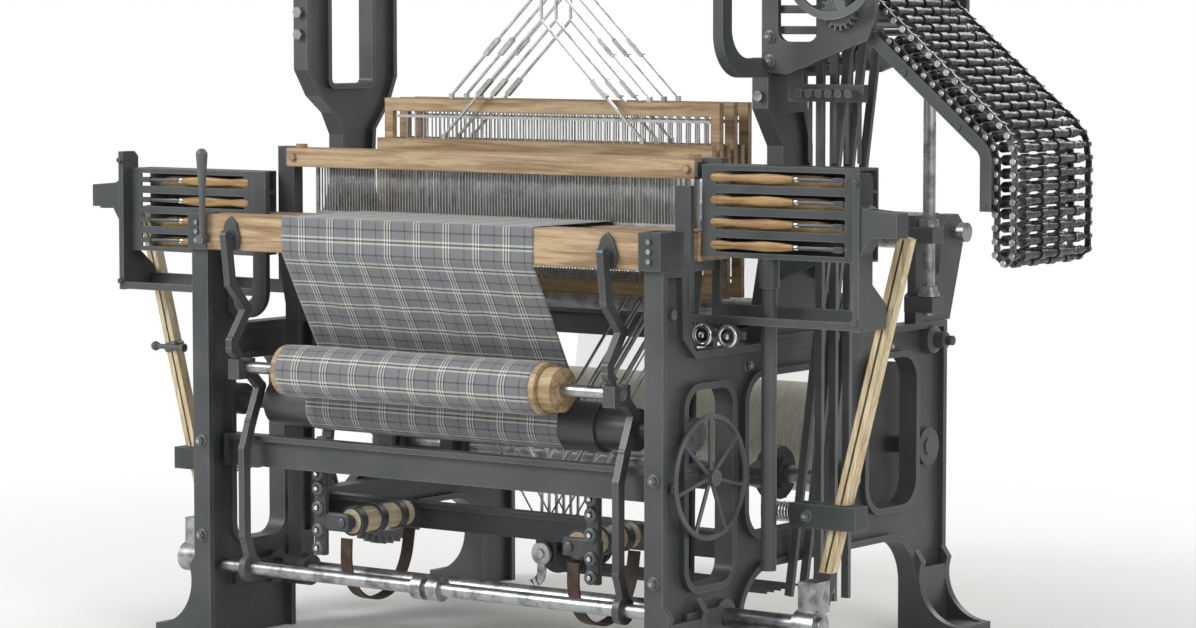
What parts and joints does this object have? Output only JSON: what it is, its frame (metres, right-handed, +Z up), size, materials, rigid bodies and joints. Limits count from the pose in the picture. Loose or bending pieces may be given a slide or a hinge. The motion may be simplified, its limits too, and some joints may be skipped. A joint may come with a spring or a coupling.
{
  "type": "power loom",
  "caption": "Belt-driven power loom for checked cloth, with drop shuttle boxes, a swinging lay, harness frames, a side head motion and a pattern chain.",
  "frame": {"origin": "centre of the four floor bolt holes, at floor level", "axes": "+X towards the right end as seen by the weaver at the front, +Y from the weaver to the warp beam, +Z up"},
  "size_m": [2.3225, 1.2689, 1.736],
  "materials": {
    "cast_iron": "black japan paint over cast iron, semi-matt",
    "steel": "turned and oiled steel",
    "chain_iron": "oiled malleable iron, worn bright on the rollers",
    "maple": "varnished maple and hickory",
    "boxwood": "polished hardwood",
    "gingham": "plain-woven checked cotton",
    "yarn": "sized cotton warp yarn"
  },
  "bodies": {
    "frame": {"side_frame_left": "cast_iron", "side_frame_right": "cast_iron", "breast_beam": "maple", "girts": "cast_iron", "arch_stand_left": "cast_iron", "arch_stand_right": "cast_iron", "arch_beam": "cast_iron", "head_frame": "cast_iron", "chain_trough": "cast_iron", "pattern_chain": "chain_iron", "cloth_stand_left": "cast_iron", "cloth_stand_right": "cast_iron", "whip_stand_left": "cast_iron", "whip_stand_right": "cast_iron", "tie_shaft": "steel", "frame_bolts": "steel", "cloth": "gingham", "warp_yarns": "yarn"},
    "crank": {"crank_shaft": "steel", "crank_gear": "cast_iron", "drive_pulley": "cast_iron"},
    "cams": {"cam_shaft": "steel", "cam_gear": "cast_iron", "pick_cams": "cast_iron"},
    "lay": {"rocker_shaft": "steel", "lay_swords": "cast_iron", "lay_beam": "maple", "hand_rail": "maple", "reed": "steel", "lay_end_left": "cast_iron", "lay_end_right": "cast_iron"},
    "pitman_l": {"pitman_left": "maple"},
    "pitman_r": {"pitman_right": "maple"},
    "boxes_l": {"box_left": "cast_iron", "shuttles_left": "boxwood"},
    "boxes_r": {"box_right": "cast_iron", "shuttles_right": "boxwood"},
    "pick_l": {"stick_left": "maple"},
    "pick_r": {"stick_right": "maple"},
    "take_up": {"take_up_roll": "steel"},
    "wheel": {"hand_wheel": "steel"},
    "cloth_beam": {"cloth_roll": "gingham"},
    "beam": {"warp_beam": "yarn"},
    "whip": {"whip_roll": "steel"},
    "upright": {"upright_shaft": "steel"},
    "drum": {"chain_cylinder": "cast_iron"},
    "headwheel": {"head_gear": "cast_iron"},
    "shipper": {"shipper_handle": "steel"},
    "harness1": {"harness_1": "maple"},
    "jack1": {"jack_1": "cast_iron"},
    "harness2": {"harness_2": "maple"},
    "jack2": {"jack_2": "cast_iron"},
    "harness3": {"harness_3": "maple"},
    "jack3": {"jack_3": "cast_iron"},
    "harness4": {"harness_4": "maple"},
    "jack4": {"jack_4": "cast_iron"},
    "harness5": {"harness_5": "maple"},
    "jack5": {"jack_5": "cast_iron"},
    "harness6": {"harness_6": "maple"},
    "jack6": {"jack_6": "cast_iron"}
  },
  "joints": [
    {"name": "crank_turn", "type": "hinge", "parent": "frame", "child": "crank", "pos_m": [0, 0.12, 0.74], "axis": [1, 0, 0], "continuous": true},
    {"name": "cam_turn", "type": "hinge", "parent": "frame", "child": "cams", "pos_m": [0, 0.12, 0.38], "axis": [1, 0, 0], "continuous": true},
    {"name": "pitman_left_swing", "type": "hinge", "parent": "crank", "child": "pitman_l", "pos_m": [-0.5486, 0.08, 0.74], "axis": [1, 0, 0], "continuous": true},
    {"name": "pitman_right_swing", "type": "hinge", "parent": "crank", "child": "pitman_r", "pos_m": [0.5486, 0.08, 0.74], "axis": [1, 0, 0], "continuous": true},
    {"name": "lay_swing", "type": "hinge", "parent": "frame", "child": "lay", "pos_m": [0, -0.36, 0.14], "axis": [1, 0, 0], "range_deg": [-8, 0]},
    {"name": "box_left_lift", "type": "slide", "parent": "lay", "child": "boxes_l", "axis": [0, 0, 1], "range_m": [-0.046, 0.092]},
    {"name": "box_right_lift", "type": "slide", "parent": "lay", "child": "boxes_r", "axis": [0, 0, 1], "range_m": [-0.092, 0.046]},
    {"name": "stick_left_pick", "type": "hinge", "parent": "lay", "child": "pick_l", "pos_m": [-0.84, -0.314, 0.205], "axis": [0, 1, 0], "range_deg": [0, 17]},
    {"name": "stick_right_pick", "type": "hinge", "parent": "lay", "child": "pick_r", "pos_m": [0.84, -0.314, 0.205], "axis": [0, 1, 0], "range_deg": [-17, 0]},
    {"name": "beam_turn", "type": "hinge", "parent": "frame", "child": "beam", "pos_m": [0, 0.45, 0.42], "axis": [1, 0, 0], "continuous": true},
    {"name": "take_up_turn", "type": "hinge", "parent": "frame", "child": "take_up", "pos_m": [0, -0.47, 0.53], "axis": [1, 0, 0], "continuous": true},
    {"name": "hand_wheel_turn", "type": "hinge", "parent": "frame", "child": "wheel", "pos_m": [0.649, -0.44, 0.44], "axis": [1, 0, 0], "continuous": true},
    {"name": "cloth_roll_turn", "type": "hinge", "parent": "frame", "child": "cloth_beam", "pos_m": [0, -0.57, 0.614], "axis": [1, 0, 0], "continuous": true},
    {"name": "whip_roll_turn", "type": "hinge", "parent": "frame", "child": "whip", "pos_m": [0, 0.56, 0.896], "axis": [1, 0, 0], "continuous": true},
    {"name": "upright_turn", "type": "hinge", "parent": "frame", "child": "upright", "pos_m": [0.661, 0.4, 1.1], "axis": [0, 0, 1], "continuous": true},
    {"name": "drum_turn", "type": "hinge", "parent": "frame", "child": "drum", "pos_m": [0.841, -0.06, 1.395], "axis": [0, 1, 0], "continuous": true},
    {"name": "head_gear_turn", "type": "hinge", "parent": "frame", "child": "headwheel", "pos_m": [0.83, -0.06, 1.487], "axis": [0, 1, 0], "continuous": true},
    {"name": "shipper_swing", "type": "hinge", "parent": "frame", "child": "shipper", "pos_m": [-0.582, -0.614, 0.894], "axis": [0, 1, 0], "range_deg": [-10, 10]},
    {"name": "harness_1_lift", "type": "slide", "parent": "frame", "child": "harness1", "axis": [0, 0, 1], "range_m": [0, 0.09]},
    {"name": "jack_1_rock", "type": "hinge", "parent": "frame", "child": "jack1", "pos_m": [0.727, -0.15, 0.89], "axis": [0, 1, 0], "range_deg": [0, 7.2]},
    {"name": "harness_2_lift", "type": "slide", "parent": "frame", "child": "harness2", "axis": [0, 0, 1], "range_m": [-0.09, 0]},
    {"name": "jack_2_rock", "type": "hinge", "parent": "frame", "child": "jack2", "pos_m": [0.727, -0.123, 0.89], "axis": [0, 1, 0], "range_deg": [-7.2, 0]},
    {"name": "harness_3_lift", "type": "slide", "parent": "frame", "child": "harness3", "axis": [0, 0, 1], "range_m": [0, 0.09]},
    {"name": "jack_3_rock", "type": "hinge", "parent": "frame", "child": "jack3", "pos_m": [0.727, -0.096, 0.89], "axis": [0, 1, 0], "range_deg": [0, 7.2]},
    {"name": "harness_4_lift", "type": "slide", "parent": "frame", "child": "harness4", "axis": [0, 0, 1], "range_m": [-0.09, 0]},
    {"name": "jack_4_rock", "type": "hinge", "parent": "frame", "child": "jack4", "pos_m": [0.727, -0.069, 0.89], "axis": [0, 1, 0], "range_deg": [-7.2, 0]},
    {"name": "harness_5_lift", "type": "slide", "parent": "frame", "child": "harness5", "axis": [0, 0, 1], "range_m": [0, 0.09]},
    {"name": "jack_5_rock", "type": "hinge", "parent": "frame", "child": "jack5", "pos_m": [0.727, -0.042, 0.89], "axis": [0, 1, 0], "range_deg": [0, 7.2]},
    {"name": "harness_6_lift", "type": "slide", "parent": "frame", "child": "harness6", "axis": [0, 0, 1], "range_m": [-0.09, 0]},
    {"name": "jack_6_rock", "type": "hinge", "parent": "frame", "child": "jack6", "pos_m": [0.727, -0.015, 0.89], "axis": [0, 1, 0], "range_deg": [-7.2, 0]}
  ],
  "couplings": [
    {"joint": "cam_turn", "follows": "crank_turn", "ratio": -0.5},
    {"joint": "pitman_left_swing", "follows": "crank_turn", "ratio": -1},
    {"joint": "pitman_right_swing", "follows": "crank_turn", "ratio": -1},
    {"joint": "upright_turn", "follows": "crank_turn", "ratio": 1},
    {"joint": "drum_turn", "follows": "crank_turn", "ratio": -0.25},
    {"joint": "head_gear_turn", "follows": "crank_turn", "ratio": 0.17308},
    {"joint": "take_up_turn", "follows": "beam_turn", "ratio": -2.4038},
    {"joint": "cloth_roll_turn", "follows": "beam_turn", "ratio": 2.2727},
    {"joint": "whip_roll_turn", "follows": "beam_turn", "ratio": 2.9762},
    {"joint": "hand_wheel_turn", "follows": "beam_turn", "ratio": 7.2115},
    {"joint": "jack_1_rock", "follows": "harness_1_lift", "rad_per_m": 1.3699},
    {"joint": "jack_2_rock", "follows": "harness_2_lift", "rad_per_m": 1.3699},
    {"joint": "jack_3_rock", "follows": "harness_3_lift", "rad_per_m": 1.3699},
    {"joint": "jack_4_rock", "follows": "harness_4_lift", "rad_per_m": 1.3699},
    {"joint": "jack_5_rock", "follows": "harness_5_lift", "rad_per_m": 1.3699},
    {"joint": "jack_6_rock", "follows": "harness_6_lift", "rad_per_m": 1.3699}
  ]
}
